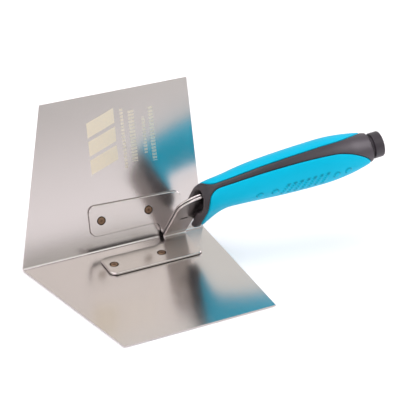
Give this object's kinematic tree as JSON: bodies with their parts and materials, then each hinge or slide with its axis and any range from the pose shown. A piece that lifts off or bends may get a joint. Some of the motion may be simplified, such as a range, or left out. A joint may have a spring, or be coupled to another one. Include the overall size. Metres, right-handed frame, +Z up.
{
  "type": "inside corner trowel",
  "caption": "Folded stainless blade for smoothing inside corners, with riveted brackets whose joined tangs carry a soft-grip handle along the fold.",
  "frame": {"origin": "centre of the lower wing's outer face, half way along the fold and half way out to the wing's edge", "axes": "+X along the fold from the toe to the heel and the handle; +Z up, square to the lower wing; the upright wing stands on the +Y side"},
  "size_m": [0.2281, 0.1256, 0.1001],
  "materials": {
    "blade_steel": "satin polished stainless sheet",
    "bracket_steel": "tumbled stainless plate with bright edges",
    "rivet_metal": "dark bronzed, ground flush",
    "grip_rubber": "satin soft-touch skin",
    "core_plastic": "fine spark-eroded mould texture"
  },
  "bodies": {
    "root": {"blade": "blade_steel", "bracket_upper": "bracket_steel", "bracket_lower": "bracket_steel", "rivet_upper_toe": "rivet_metal", "rivet_upper_heel": "rivet_metal", "rivet_lower_toe": "rivet_metal", "rivet_lower_heel": "rivet_metal", "handle_core": "core_plastic", "grip_sleeve": "grip_rubber", "end_plug": "core_plastic"}
  },
  "joints": []
}
